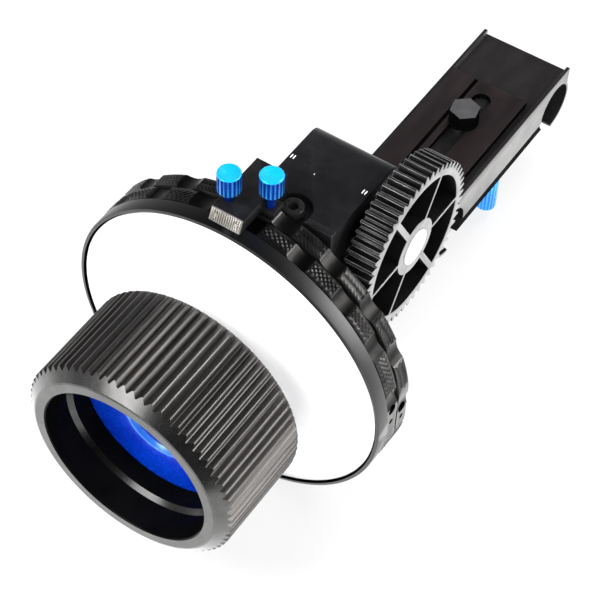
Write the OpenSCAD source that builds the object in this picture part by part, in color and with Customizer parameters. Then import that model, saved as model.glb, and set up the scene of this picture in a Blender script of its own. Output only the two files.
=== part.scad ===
// Follow focus unit: a handwheel with two hard stop rings, a gearbox with an offset
// drive gear, and a bridge that clamps to two parallel rods.
//
// Origin: on the handwheel's axis, in the front plane of the bezel. +Z is up, the
// handwheel faces -Y, and the drive gear sits on the +X side. Units are millimetres.

/* [Handwheel] */
// Radius over the grip's flutes
grip_r = 30.7; // [28:0.1:34]
// Length of the grip
grip_len = 31.8; // [28:0.1:36]
// Gap between the back of the grip and the bezel's plane
grip_gap = 11.9; // [11.5:0.1:14]
// Radius of the grip's flat front rim
rim_r = 27.3; // [26:0.1:28]
// Radius of the grip's front bore
bore_r = 23.9; // [23:0.1:24.5]
// Depth of the grip's front bore, down to its ledge
bore_depth = 8.5; // [6:0.1:10]
// Depth of the blue hub plate below the rim
floor_depth = 14.7; // [14:0.1:15]
// Number of lengthwise flutes
flutes = 72; // [48:1:80]

/* [Disc and bezel] */
// Radius of the white marking disc
disc_r = 44.5; // [43:0.1:44.7]
// Height of the disc's cone
disc_rise = 8.6; // [5:0.1:9]
// Width of the bezel's rim outside the disc
bezel_rim = 1.5; // [1.2:0.1:2]
// Thickness of the bezel
bezel_t = 3.4; // [3:0.1:3.6]

/* [Stop rings] */
// Step from the bezel's side band out to both stop rings
ring_step = 0.2; // [0:0.1:0.6]
// Width of the front ring
ring_a_w = 4.6; // [4:0.1:4.7]
// Width of the rear ring
ring_b_w = 4.35; // [4:0.05:4.5]
// Number of finger scallops round a ring
scallops = 20; // [16:1:24]
// Angle between the ring's own stop tooth and the peg's opposite side
tooth_half = 5; // [3:1:8]

/* [Stop block] */
// Width of the stop block
block_w = 8.9; // [8:0.1:9.5]
// Height of the stop block over the rings' gap
block_h = 3.4; // [3.2:0.1:5]
// Diameter of a thumbscrew's head
thumb_d = 6; // [5:0.1:6.4]
// Height of a thumbscrew's head
thumb_h = 6; // [5:0.1:7]

/* [Gearbox] */
// Depth of the housing's top face below the top of the stop rings
case_drop = 3.6; // [3.4:0.1:4]
// Position of the housing's left side
case_left = -3.6; // [-4.5:0.1:-3]
// Position of the housing's right side
case_right = 19.4; // [19:0.1:19.6]
// Position of the housing's rear face
case_back = 45.7; // [45.5:0.1:48]
// Radius of the housing's rear top edge
case_fillet = 4.7; // [3:0.1:6]

/* [Gear train] */
// Module of the gears on the input shaft and the layshaft
train_module = 0.8; // [0.8:0.1:0.8]
// Teeth of the gear on the input shaft
input_teeth = 44; // [43:1:45]
// Teeth of the layshaft's pinion
pinion_teeth = 20; // [19:1:21]
// Teeth of each mitre gear
mitre_teeth = 16; // [16:1:16]
// Pitch radius of each mitre gear
mitre_r = 5; // [4.8:0.1:5]

/* [Drive gear] */
// Teeth of the drive gear, at the 0.8 module of lens rings
drive_teeth = 56; // [54:1:57]
// Width of the drive gear
drive_w = 8; // [6:0.1:9]
// Height of the drive gear's axis over the handwheel's axis
drive_z = 24.3; // [24:0.1:24.6]
// Distance of the drive gear's axis behind the bezel's plane
drive_y = 38.2; // [38:0.1:39]

/* [Bridge] */
// Length of the clamp screw's blue head
clamp_head_h = 12.6; // [8:0.1:16]
// Distance between the centres of the two rods
rod_pitch = 60; // [60:1:60]
// Diameter of each rod
rod_d = 15; // [15:1:15]
// Width of the bridge, along the rods
bridge_w = 29.2; // [28:0.1:32]
// Middle of the bridge's width
bridge_x = 1.6; // [1.2:0.1:2]
// Distance of the rear rod behind the bezel's plane
rear_rod_y = 146.3; // [140:0.1:160]
// Height of the bridge's lips over the handwheel's axis
lip_z = -14.6; // [-15:0.1:-14]
// Thickness of the wall round each rod
rod_wall = 0.9; // [0.8:0.1:1.5]
// Travel of the slide plate towards the operator
slide_out = 10; // [5:1:12]
// Travel of the slide plate towards the lens
slide_in = 39; // [30:1:45]

/* [Fits] */
// Radial clearance of a running fit
run = 0.04; // [0.02:0.01:0.08]
// Gap between faces of pieces that move past one another
gap = 0.3; // [0.3:0.05:0.4]
// Gap on each side of a friction washer
washer_gap = 0.05; // [0.03:0.01:0.08]

/* [Hidden] */
$fn = 72;
eps = 0.01;
pressure = 20;

// Radii and heights that follow the marking disc.
bezel_r = disc_r + bezel_rim;
ring_r = bezel_r + ring_step;
case_top = ring_r - case_drop;
block_under = ring_r + 0.6;
block_top = block_under + block_h;

// Handwheel stations along Y.
grip_back = -grip_gap;
grip_front = grip_back - grip_len;
ledge_y = grip_front + bore_depth;
floor_y = grip_front + floor_depth;
ledge_r = bore_r - 1.2;
hub_t = 3;
web_front = floor_y + hub_t;
web_t = 4.5;
web_back = web_front + web_t;
flange_t = 3;
flange_back = web_back + flange_t;
flute_depth = 1.3;
flute_front = grip_front + 2.3;
flute_back = grip_back - 2;
neck_r = 17.6;
tube_r = 11.9;
shaft_r = 4;
hub_screw_r = 15.6;
hub_head_back = web_front + 2.1;
hub_screw_len = 8;
hub_dish_r = 10.4;
drive_pin_y = 5.5;
drive_pin_r = 1.25;
nut_r = tube_r + 3.5;
nut_t = 3.3;
nut_notch = 1.8;
seat_lift = 0.4;
neck_land = 2;

// Stop rings along Y.
washer_t = 0.2;
ring_a_y = bezel_t + washer_t + 2 * washer_gap;
ring_a_back = ring_a_y + ring_a_w;
ring_b_y = ring_a_back + 0.65;
ring_b_back = ring_b_y + ring_b_w;
drum_back = ring_b_back + washer_t + 2 * washer_gap;
drum_r = disc_r - 11.1;
ring_bore = drum_r + 2 * run;
stop_r = ring_bore + 2.7;
stop_w = 1.8;
peg_r = 0.8;
peg_reach = stop_r - 0.5;
retainer_t = 1;
retainer_back = drum_back + retainer_t;
retainer_screw_r = drum_r - 7.4;
retainer_head_r = 2.4;
retainer_screw_len = 12;
washer_out_r = ring_r - 2;
washer_rear_r = ring_r - 6.2;
scallop_r = 6;
scallop_depth = 1.1;
scallop_step = 360 / scallops;
ring_a_phase = 14;
ring_b_phase = 6;
facet_x = ring_r - 0.75;
facet_half = sqrt(pow(ring_r, 2) - pow(facet_x, 2)) + 0.7;
ring_a_holes = [[4.0, 1.5], [-0.9, 0.8]];
ring_b_holes = [[-0.6, 1.5], [-4.4, 0.8]];

// Gearbox stations.
case_front = 15.3;
cover_t = 2.1;
cover_back = case_front + cover_t;
seat_back = cover_back + 3.7;
gear_front = seat_back + 0.5;
gear_w = 4.6;
gear_back = gear_front + gear_w;
chamber_back = gear_back + 0.6;
boss_back = chamber_back + 2;
input_r = train_module * input_teeth / 2;
pinion_r = train_module * pinion_teeth / 2;
train_reach = input_r + pinion_r;
lay_x = sqrt(pow(train_reach, 2) - pow(drive_z, 2));
mesh_angle = atan2(drive_z, lay_x);
chamber_r = input_r + 1;
boss_r = chamber_r + 1.8;
lay_cavity_r = 9.3;
lay_cavity_back = case_back - 1.5;
foot_z = lip_z + gap;
foot_front = boss_back + 0.6;
foot_left = bridge_x - bridge_w / 2 + 1.7;
foot_top = -8;
rear_boss_r = 9;
rear_boss_back = chamber_back + 7;
bearing_r = 8;
bearing_w = 5;
small_bearing_r = 5;
small_bearing_w = 3;
small_shaft_r = 2;
ear_x = -18;
ear_z = 10.4;
ear_r = 2.6;
cover_screw_z = case_top - 7;
cover_screw_places = [[-1.4, cover_screw_z], [17, cover_screw_z], [17.2, 12.9], [17.2, -12],
    [ear_x, ear_z], [ear_x, -ear_z]];
cover_head_r = 1.9;
side_boss_r = 6.6;
side_boss_t = 1.9;
shelf_t = 3;
shelf_front = chamber_back + 0.8;
bearing_x_right = case_right + side_boss_t - 0.3 - small_bearing_w;
bearing_x_left = case_left - side_boss_t + 0.5;
tongue = [4.4, 13.4, cover_back, 22.4, case_top - 7.8, case_top - 4.2];
cap_recess = [6.9, 17.7];
cap_recess_r = 4.9;
cap_recess_depth = 2.2;
cap_screw_len = 5.4;
mitre_face = 2.2;

// Drive gear.
drive_module = 0.8;
drive_x = case_right + 2.7;
drive_front = drive_x + drive_w;
drive_rim_r = 19.6;
drive_hub_r = 7.9;
drive_cap_r = 5;
drive_web_t = 1.6;
spokes = 6;
spoke_t = 0.8;
spoke_wide_t = 1.7;

// Bridge.
bridge_left = bridge_x - bridge_w / 2;
bridge_right = bridge_x + bridge_w / 2;
lip_t = 1.1;
lip_h = 1.6;
deck_z = lip_z - lip_h;
rod_r = rod_d / 2;
rod_z = deck_z - 9;
front_rod_y = rear_rod_y - rod_pitch;
mid_y = rear_rod_y - rod_pitch / 2;
bridge_end = 7;
bridge_bottom = rod_z - 1;
hook_r = rod_r + rod_wall;
jaw_top = bridge_bottom - 0.4;
clear_below = 20;
jaw_bottom = bridge_bottom - 4.2;
jaw_inset = 0.4;
clamp_x = bridge_right - 3.7;
guide_x = bridge_left + 3.7;
clamp_head_top = jaw_bottom - 0.4;
clamp_head_bottom = clamp_head_top - clamp_head_h;
clamp_shank_r = 1.95;
clamp_shank_top = deck_z - 4;
clip_r = 3.2;
clip_t = 0.3;
plate_back = 133.5;
plate_left = bridge_left + lip_t + 0.05;
plate_right = bridge_right - lip_t - 2.3;
plate_bottom = deck_z + 0.05;
plate_top = foot_z - eps;
slot_r = 2.8;
slot_back = mid_y + slide_out;
slot_front = mid_y - slide_in - 0.6;
groove_x = -3.75;
plate_head_r = 2.8;
plate_screw_len = 6.6;
plate_screws = [[-8, 34], [-8, 42], [9, 42], [9, 34]];

// Stop block.
block_x = -1.05;
block_left = block_x - block_w / 2;
block_right = block_x + block_w / 2;
block_front = 2.1;
block_back = 20.4;
block_foot_front = drum_back + retainer_t - 0.4;
plate_slope = 2.1;
lug_top = block_under + 1.7;
thumb_a = [block_left + 1.9, ring_a_y + ring_a_w / 2];
thumb_b = [block_right + 1.5, ring_b_y + ring_b_w / 2];
thumb_top = block_top + 9;
thumb_pin_r = 1.15;
pad_r = 0.85;
pad_len = 0.8;
block_screw = [0.6, 18.45];
block_dowel = [-2.3, 18.7];
dowel_r = 0.75;
pad_rest = ring_r + 0.5;

// ---- Helpers -----------------------------------------------------------------

// A cylinder along Y, from y0 to y1.
module bar_y(x, z, r, y0, y1) {
    translate([x, y1, z]) rotate([90, 0, 0]) cylinder(r = r, h = y1 - y0);
}

// A cylinder along X, from x0 to x1.
module bar_x(y, z, r, x0, x1) {
    translate([x0, y, z]) rotate([0, 90, 0]) cylinder(r = r, h = x1 - x0);
}

// A cylinder along Z, from z0 to z1.
module bar_z(x, y, r, z0, z1) {
    translate([x, y, z0]) cylinder(r = r, h = z1 - z0);
}

// A turned piece about Y. Each point is [radius, y].
module turned_y(points) {
    rotate([90, 0, 0]) rotate_extrude() polygon([for (p = points) [p[0], -p[1]]]);
}

// A plain ring about Y.
module ring_y(inner, outer, y0, y1) {
    turned_y([[inner, y0], [outer, y0], [outer, y1], [inner, y1]]);
}

// A prism along Y; the outline is drawn in X and Z.
module prism_y(y0, y1) {
    translate([0, y1, 0]) rotate([90, 0, 0]) linear_extrude(y1 - y0) children();
}

// A prism along X; the outline is drawn in Y and Z.
module prism_x(x0, x1) {
    translate([x0, 0, 0]) rotate([90, 0, 90]) linear_extrude(x1 - x0) children();
}

// A box between two corners.
module span(x0, x1, y0, y1, z0, z1) {
    translate([x0, y0, z0]) cube([x1 - x0, y1 - y0, z1 - z0]);
}

function polar(r, a) = [r * cos(a), r * sin(a)];

// Half the angle that a straight-sided tooth fills at radius r.
function tooth_angle(m, pitch_r, r, fill) =
    (PI * m / 4 * fill + (pitch_r - r) * tan(pressure)) / r * 180 / PI;

// The outline of a spur gear, with a tooth centred on the angle 0.
module gear_outline(m, teeth, fill, addendum, dedendum) {
    pitch_r = m * teeth / 2;
    tip = pitch_r + addendum;
    root = pitch_r - dedendum;
    tip_a = tooth_angle(m, pitch_r, tip, fill);
    root_a = tooth_angle(m, pitch_r, root, fill);
    polygon([for (i = [0:teeth - 1]) let (a = 360 * i / teeth) each [
        polar(root, a - root_a), polar(tip, a - tip_a),
        polar(tip, a + tip_a), polar(root, a + root_a)]]);
}

// A bevel gear at 45 degrees that tapers towards its apex, drawn with its large end
// on the XY plane and its apex above, at z = mitre_r.
module mitre_body(bore, hub_h) {
    m = 2 * mitre_r / mitre_teeth;
    small = (mitre_r - mitre_face) / mitre_r;
    difference() {
        union() {
            linear_extrude(mitre_face, scale = small)
                gear_outline(m, mitre_teeth, 0.76, 0.55 * m, 0.95 * m);
            translate([0, 0, -hub_h]) cylinder(r = small_shaft_r + 1.2, h = hub_h + 0.2);
        }
        translate([0, 0, -hub_h - 1]) cylinder(r = bore, h = hub_h + mitre_face + 2);
    }
}

// A thumbscrew about Z with a fluted head above z0 and a plain pin below.
module thumbscrew(head_z0, head_z1, pin_r, pin_z0) {
    ribs = 18;
    head_r = thumb_d / 2;
    difference() {
        bar_z(0, 0, head_r, head_z0, head_z1 - 0.5);
        for (i = [0:ribs - 1])
            translate([for (c = polar(head_r + 0.12, 360 * i / ribs)) c])
                bar_z(0, 0, 0.32, head_z0 - 1, head_z1 - 1.1);
    }
    translate([0, 0, head_z1 - 0.5]) cylinder(r1 = head_r, r2 = head_r - 0.5, h = 0.5);
    bar_z(0, 0, pin_r, pin_z0, head_z0 + eps);
}

// The part of a socket cap screw about Z: its head sits on z = 0 and points up.
module cap_screw(head_r, head_h, shank_r, shank_len) {
    difference() {
        bar_z(0, 0, head_r, 0, head_h);
        translate([0, 0, head_h * 0.45]) cylinder(r = head_r * 0.52, h = head_h, $fn = 6);
    }
    bar_z(0, 0, shank_r, -shank_len, eps);
}

// A countersunk screw about Z: its flat head is flush with z = 0, its point is down.
module flat_screw(head_r, shank_r, length) {
    sink = head_r - shank_r;
    difference() {
        union() {
            translate([0, 0, -sink]) cylinder(r1 = shank_r, r2 = head_r, h = sink);
            bar_z(0, 0, shank_r, -length, -sink + eps);
        }
        translate([0, 0, -sink * 0.8]) cylinder(r = shank_r * 0.55, h = sink, $fn = 6);
    }
}

// The hole for a countersunk screw, with a little room all round.
module flat_screw_hole(head_r, shank_r, length) {
    sink = head_r - shank_r;
    translate([0, 0, -sink]) cylinder(r1 = shank_r + run, r2 = head_r + run, h = sink + eps);
    bar_z(0, 0, shank_r + run, -length - 0.3, -sink + eps);
}

// ---- Handwheel ---------------------------------------------------------------

module flute_outline() {
    step = 360 / flutes;
    polygon([for (i = [0:flutes - 1]) let (a = step * i) each [
        polar(grip_r, a - 0.07 * step), polar(grip_r, a + 0.07 * step),
        polar(grip_r - flute_depth, a + 0.5 * step)]]);
}

module handwheel_grip() {
    // The core rises a little over the flutes' bottom lines, which gives each a flat floor.
    root_r = grip_r - flute_depth + 0.15;
    color([0.16, 0.15, 0.16]) difference() {
        union() {
            prism_y(flute_front, flute_back) flute_outline();
            turned_y([[0, grip_front], [rim_r, grip_front], [root_r, flute_front],
                [root_r, flute_back], [root_r - 0.3, grip_back - 0.8],
                [root_r - 1.6, grip_back], [0, grip_back]]);
        }
        bar_y(0, 0, bore_r, grip_front - 1, ledge_y);
        bar_y(0, 0, ledge_r, ledge_y - eps, web_front);
        bar_y(0, 0, tube_r + run, web_front - eps, web_back + eps);
        bar_y(0, 0, ledge_r - 2, web_back, grip_back + 1);
        for (a = [45:90:315]) rotate([0, a, 0]) {
            bar_y(hub_screw_r, 0, 1.5 + run, web_front - 1, web_back + 1);
            bar_y(hub_screw_r, 0, 2.6, web_front - 1, hub_head_back);
        }
    }
}

module hub_plate() {
    color([0.02, 0.16, 0.85]) difference() {
        turned_y([[0, floor_y + 1.2], [hub_dish_r - 1.2, floor_y + 1.2], [hub_dish_r, floor_y],
            [ledge_r - run, floor_y], [ledge_r - run, web_front], [0, web_front]]);
        bar_y(0, 0, shaft_r + run, floor_y + 1.8, web_front + 1);
    }
}

module hub_screws() {
    color([0.1, 0.1, 0.11]) for (a = [45:90:315]) rotate([0, a, 0])
        translate([hub_screw_r, hub_head_back, 0]) rotate([90, 0, 0])
            cap_screw(2.4, 2, 1.5, hub_screw_len);
}

module wheel_spindle() {
    color([0.2, 0.2, 0.21]) difference() {
        turned_y([[shaft_r + run, web_front + 0.1], [tube_r, web_front + 0.1],
            [tube_r, web_back], [ledge_r - 2.3, web_back], [ledge_r - 2.3, flange_back],
            [neck_r, flange_back], [neck_r, -eps], [tube_r, -eps],
            [tube_r, drum_back], [shaft_r + run, drum_back]]);
        bar_z(0, drive_pin_y, drive_pin_r + run, -tube_r - 1, tube_r + 1);
        for (a = [45:90:315]) rotate([0, a, 0])
            bar_y(hub_screw_r, 0, 1.5 + run, web_back - 1, hub_head_back + hub_screw_len + 0.4);
    }
}

module spindle_nut() {
    color([0.12, 0.12, 0.13]) difference() {
        ring_y(tube_r + run, nut_r, drum_back - nut_t - 0.3, drum_back - 0.3);
        for (a = [0:90:270]) rotate([0, a, 0])
            span(nut_r - nut_notch, nut_r + 1, drum_back - nut_t - 1, drum_back, -1.2, 1.2);
    }
}

module marking_disc() {
    top = -seat_lift - disc_rise;
    color("white") turned_y([[neck_r + run, top], [neck_r + neck_land, top],
        [disc_r, -seat_lift], [disc_r, -run], [neck_r + run, -run]]);
}

module disc_bezel() {
    color([0.2, 0.2, 0.21]) difference() {
        turned_y([[tube_r + run, 0], [disc_r + 0.1, 0], [disc_r + 0.1, -0.9],
            [bezel_r - 0.3, -0.9], [bezel_r, -0.5], [bezel_r, bezel_t],
            [tube_r + run, bezel_t]]);
        for (a = [0:90:270]) rotate([0, a, 0])
            bar_y(retainer_screw_r, 0, 1.5 + run, 1, bezel_t + 1);
    }
}

module ring_drum() {
    color([0.25, 0.25, 0.26]) difference() {
        ring_y(tube_r + run, drum_r, bezel_t, drum_back);
        bar_y(0, 0, nut_r + 0.4, drum_back - nut_t - 0.5, drum_back + 1);
        for (a = [0:90:270]) rotate([0, a, 0])
            bar_y(retainer_screw_r, 0, 1.5 + run, bezel_t - 1, drum_back + 1);
        for (y = peg_y) bar_x(y, 0, peg_r + run, drum_r - 5, drum_r + 1);
    }
}

// Each peg stands in its ring's rear recess.
peg_y = [ring_a_back - stop_w / 2, ring_b_back - stop_w / 2];

module stop_pegs() {
    color([0.7, 0.7, 0.7]) for (y = peg_y) bar_x(y, 0, peg_r, drum_r - 4.8, peg_reach);
}

module ring_retainer() {
    color([0.12, 0.12, 0.13]) difference() {
        ring_y(tube_r + 1, drum_r + 1.2, drum_back, retainer_back);
        for (a = [0:90:270]) rotate([0, a, 0]) translate([retainer_screw_r, retainer_back, 0])
            rotate([-90, 0, 0]) flat_screw_hole(retainer_head_r, 1.5, retainer_screw_len);
    }
}

module retainer_screws() {
    color([0.1, 0.1, 0.11]) for (a = [0:90:270]) rotate([0, a, 0])
        translate([retainer_screw_r, retainer_back, 0]) rotate([-90, 0, 0])
            flat_screw(retainer_head_r, 1.5, retainer_screw_len);
}

module friction_washers() {
    color([0.05, 0.05, 0.05]) {
        ring_y(drum_r + run, washer_out_r, bezel_t + eps, bezel_t + eps + washer_t);
        ring_y(drum_r + run, washer_out_r, ring_a_back + 0.1, ring_b_y - 0.1);
        ring_y(drum_r + run, washer_rear_r, ring_b_back + washer_gap, ring_b_back + washer_gap + washer_t);
    }
}

module input_shaft() {
    color([0.75, 0.75, 0.77]) difference() {
        turned_y([[0, floor_y + 2], [shaft_r - 0.4, floor_y + 2], [shaft_r, floor_y + 2.4],
            [shaft_r, rear_boss_back - 2.4], [shaft_r - 0.4, rear_boss_back - 2],
            [0, rear_boss_back - 2]]);
        bar_z(0, drive_pin_y, drive_pin_r + run, -shaft_r - 1, shaft_r + 1);
    }
}

module drive_pin() {
    color([0.7, 0.7, 0.7])
        bar_z(0, drive_pin_y, drive_pin_r, -tube_r + 0.3, tube_r - 0.3);
}

module input_gear() {
    color([0.76, 0.62, 0.3]) difference() {
        union() {
            prism_y(gear_front, gear_back) rotate(mesh_angle)
                gear_outline(train_module, input_teeth, 0.84, 0.64, 0.95);
            bar_y(0, 0, 7, gear_front - 0.3, gear_back + 0.3);
        }
        bar_y(0, 0, shaft_r + run, gear_front - 1, gear_back + 1);
        for (a = [0:60:300]) rotate([0, a + 20, 0])
            bar_y(11.3, 0, 2.6, gear_front - 1, gear_back + 1);
    }
}

// ---- Stop rings --------------------------------------------------------------

// The holes are a list of [height, radius] on the flat facet at the ring's +X side.
module stop_ring(y0, y1, phase, holes) {
    mid = (y0 + y1) / 2;
    difference() {
        ring_y(ring_bore, ring_r, y0, y1);
        difference() {
            ring_y(ring_bore - 1, stop_r, y1 - stop_w, y1 + 1);
            prism_y(y1 - stop_w - 1, y1 + 2) polygon([[0, 0], polar(2 * ring_r, 180 - tooth_half),
                polar(2 * ring_r, 180 + tooth_half)]);
        }
        for (i = [1:scallops - 2]) rotate([0, -phase - i * scallop_step, 0])
            bar_y(ring_r + scallop_r - scallop_depth, 0, scallop_r, y0 - 1, y1 + 1);
        rotate([0, -phase + 4.5, 0])
            bar_y(ring_r + scallop_r - scallop_depth, 0, scallop_r, y0 - 1, y1 + 1);
        span(facet_x, ring_r + 1, y0 - 1, y1 + 1, -facet_half, facet_half);
        for (h = holes) bar_x(mid, h[0], h[1], facet_x - 4.5, facet_x + 2);
    }
}

module stop_ring_front() {
    color([0.2, 0.2, 0.2]) stop_ring(ring_a_y, ring_a_back, ring_a_phase, ring_a_holes);
}

module stop_ring_rear() {
    color([0.2, 0.2, 0.2]) stop_ring(ring_b_y, ring_b_back, ring_b_phase, ring_b_holes);
}

// ---- Gearbox -----------------------------------------------------------------

module case_outline() {
    union() {
        translate([foot_front, foot_z]) square([case_back - foot_front, case_top - case_fillet - foot_z]);
        translate([cover_back, -case_fillet])
            square([case_back - case_fillet - cover_back, case_top + case_fillet]);
        translate([case_back - case_fillet, case_top - case_fillet]) circle(case_fillet);
    }
}

module gearbox_housing() {
    color([0.16, 0.16, 0.17]) difference() {
        union() {
            prism_x(case_left, case_right) case_outline();
            prism_y(cover_back, boss_back) cover_outline();
            bar_y(0, 0, rear_boss_r, boss_back - 1, rear_boss_back);
            span(foot_left, case_right, foot_front, case_back, foot_z, foot_top);
            span(foot_left + 4, case_left + 1, foot_front, rear_boss_back, foot_top - 1, 0);
            bar_x(drive_y, drive_z, side_boss_r, case_left - side_boss_t, case_right + side_boss_t);
        }
        // The gear chamber, the layshaft's cavity and the pocket of the cover's tongue.
        bar_y(0, 0, chamber_r, cover_back - 1, chamber_back);
        bar_y(lay_x, drive_z, lay_cavity_r, cover_back - 1, lay_cavity_back);
        span(tongue[0] - 0.1, tongue[1] + 0.1, cover_back - 1, tongue[3] + 0.1,
            tongue[4] - 0.1, tongue[5] + 0.1);
        // Seats of the bearings on the input shaft and the output shaft.
        bar_y(0, 0, bearing_r + run, chamber_back - 1, chamber_back + bearing_w);
        bar_y(0, 0, shaft_r + 1, chamber_back, rear_boss_back - 1.4);
        bar_x(drive_y, drive_z, small_bearing_r + run, bearing_x_right, case_right + side_boss_t + 1);
        bar_x(drive_y, drive_z, small_bearing_r + run, case_left - side_boss_t - 1,
            bearing_x_left + small_bearing_w);
        bar_x(drive_y, drive_z, 4, bearing_x_left, bearing_x_right + 0.5);
        // Holes of the screws.
        for (p = cover_screw_places) bar_y(p[0], p[1], 1 + run, cover_back - 1, case_front + 6.3);
        for (p = plate_screws) bar_z(p[0], p[1], 1.5 + run, foot_z - 1, foot_z + 5.5);
        bar_z(block_screw[0], block_screw[1], 1 + run, case_top - 5, case_top + 1);
        bar_z(block_dowel[0], block_dowel[1], dowel_r + run, case_top - 3.2, case_top + 1);
        bar_z(cap_recess[0], cap_recess[1], cap_recess_r, case_top - cap_recess_depth, case_top + 1);
        bar_z(cap_recess[0], cap_recess[1], 1.5 + run, tongue[5] - 1, case_top);
    }
}

module cover_outline() {
    union() {
        circle(boss_r);
        translate([case_left, foot_z]) square([case_right - case_left, case_top - foot_z]);
        for (z = [-ear_z, ear_z]) translate([ear_x, z]) circle(ear_r);
    }
}

// The cover closes the front of the housing and carries the front bearings.
module front_cover() {
    color([0.13, 0.13, 0.14]) difference() {
        union() {
            prism_y(case_front, cover_back - eps) cover_outline();
            bar_y(0, 0, bearing_r + 2.2, cover_back - 1, seat_back);
            bar_y(lay_x, drive_z, small_bearing_r + 1.6, cover_back - 1, seat_back - 0.4);
            span(tongue[0], tongue[1], cover_back - 1, tongue[3], tongue[4], tongue[5]);
        }
        bar_y(0, 0, bearing_r + run, case_front + 0.8, seat_back + 1);
        bar_y(0, 0, shaft_r + 1, case_front - 1, seat_back);
        bar_y(lay_x, drive_z, small_bearing_r + run, cover_back - 0.2, seat_back);
        bar_z(cap_recess[0], cap_recess[1], 1.5 + run, tongue[4] - 1, case_top + 1);
        bar_z(cap_recess[0], cap_recess[1], cap_recess_r, case_top - cap_recess_depth, case_top + 1);
        for (p = cover_screw_places) translate([p[0], case_front, p[1]]) rotate([90, 0, 0])
            flat_screw_hole(cover_head_r, 1, 4);
    }
}

module cover_screws() {
    color([0.1, 0.1, 0.11]) for (p = cover_screw_places)
        translate([p[0], case_front, p[1]]) rotate([90, 0, 0])
            flat_screw(cover_head_r, 1, 6);
}

module input_bearings() {
    color([0.8, 0.8, 0.82]) {
        ring_y(shaft_r + run, bearing_r, case_front + 0.8, case_front + 0.8 + bearing_w - eps);
        ring_y(shaft_r + run, bearing_r, chamber_back, chamber_back + bearing_w - eps);
    }
}

module layshaft_bearings() {
    color([0.8, 0.8, 0.82]) for (y = [cover_back - 0.2, shelf_front])
        translate([lay_x, 0, drive_z])
            ring_y(small_shaft_r + run, small_bearing_r, y, y + small_bearing_w - eps);
}

module layshaft_carrier() {
    color([0.5, 0.5, 0.52]) translate([lay_x, 0, drive_z]) difference() {
        bar_y(0, 0, lay_cavity_r - run, shelf_front, shelf_front + shelf_t);
        bar_y(0, 0, small_bearing_r + run, shelf_front - 1, shelf_front + shelf_t + 1);
    }
}

module output_bearings() {
    color([0.8, 0.8, 0.82]) for (x = [bearing_x_left, bearing_x_right])
        translate([x, drive_y, drive_z]) difference() {
            bar_x(0, 0, small_bearing_r, 0, small_bearing_w - eps);
            bar_x(0, 0, small_shaft_r + run, -1, small_bearing_w + 1);
        }
}

module bearing_cap() {
    color([0.13, 0.13, 0.14])
        bar_x(drive_y, drive_z, small_bearing_r, case_left - side_boss_t - 0.4,
            case_left - side_boss_t + 0.4);
}

module top_cap_screw() {
    color([0.06, 0.06, 0.06]) translate([cap_recess[0], cap_recess[1], case_top - cap_recess_depth])
        cap_screw(2.75, 3, 1.5, cap_screw_len);
}

// ---- Stop block --------------------------------------------------------------

module block_outline() {
    polygon([[block_front, block_top], [block_back, block_top], [block_back, case_top],
        [block_foot_front, case_top], [block_foot_front, block_under],
        [block_front - plate_slope * 0.9 + 0.4, block_under]]);
}

module stop_block() {
    color([0.05, 0.05, 0.055]) difference() {
        union() {
            prism_x(block_left, block_right) block_outline();
            span(block_right - 1, thumb_b[0] + 2.2, thumb_b[1] - 2.2, thumb_b[1] + 2.2,
                block_under, lug_top);
        }
        bar_z(thumb_a[0], thumb_a[1], thumb_pin_r + run, block_under - 1, block_top + 1);
        bar_z(thumb_b[0], thumb_b[1], thumb_pin_r + run, block_under - 1, block_top + 1);
        bar_z(block_screw[0], block_screw[1], 1 + run, case_top - 1, block_top + 1);
        bar_z(block_screw[0], block_screw[1], 1.85, block_top - 2.1, block_top + 1);
        bar_z(block_dowel[0], block_dowel[1], dowel_r + run, case_top - 1, case_top + 3.2);
        for (x = [block_left + 1.6, block_right - 1.6]) index_screw_place(x)
            bar_z(0, 0, 0.55, -2.3, 1);
    }
}

// A place on the block's sloping front face, with +Z pointing out of the face.
module index_screw_place(x) {
    run_y = plate_slope * 0.9 - 0.4;
    tilt = atan2(block_top - block_under, run_y);
    translate([x, block_front - run_y / 2, (block_top + block_under) / 2])
        rotate([tilt, 0, 0]) children();
}

module index_plate() {
    run_y = plate_slope * 0.9 - 0.4;
    face = sqrt(pow(run_y, 2) + pow(block_top - block_under, 2));
    ridges = 14;
    color([0.62, 0.6, 0.55]) index_screw_place(block_x) difference() {
        union() {
            translate([-block_w / 2 + 0.1, -face / 2 + 0.1, eps]) cube([block_w - 0.2, face - 0.2, 0.5]);
            for (i = [0:ridges - 1])
                translate([(i + 0.5) * (block_w - 0.4) / ridges - block_w / 2 + 0.08, -face / 2 + 0.2, 0.3])
                    cube([0.28, face - 0.4, 0.45]);
        }
        for (x = [-block_w / 2 + 1.6, block_w / 2 - 1.6]) bar_z(x, 0, 0.6, -1, 1.4);
    }
}

module index_screws() {
    color([0.2, 0.2, 0.2]) for (x = [block_left + 1.6, block_right - 1.6]) index_screw_place(x)
        bar_z(0, 0, 0.5, -2.1, 0.6);
}

module block_screw() {
    color([0.06, 0.06, 0.06]) translate([block_screw[0], block_screw[1], block_top - 2.1])
        cap_screw(1.75, 1.9, 1, 10);
}

module block_dowel() {
    color([0.75, 0.75, 0.77])
        bar_z(block_dowel[0], block_dowel[1], dowel_r, case_top - 3, case_top + 3);
}

module thumb_pair(place, pin_z0) {
    translate([place[0], place[1], 0])
        thumbscrew(thumb_top - thumb_h, thumb_top, thumb_pin_r, pin_z0);
}

module front_thumbscrew() {
    color([0.05, 0.4, 0.95]) thumb_pair(thumb_a, pad_rest + pad_len + 0.05);
}

module rear_thumbscrew() {
    color([0.05, 0.4, 0.95]) thumb_pair(thumb_b, pad_rest + pad_len + 0.05);
}

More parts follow.
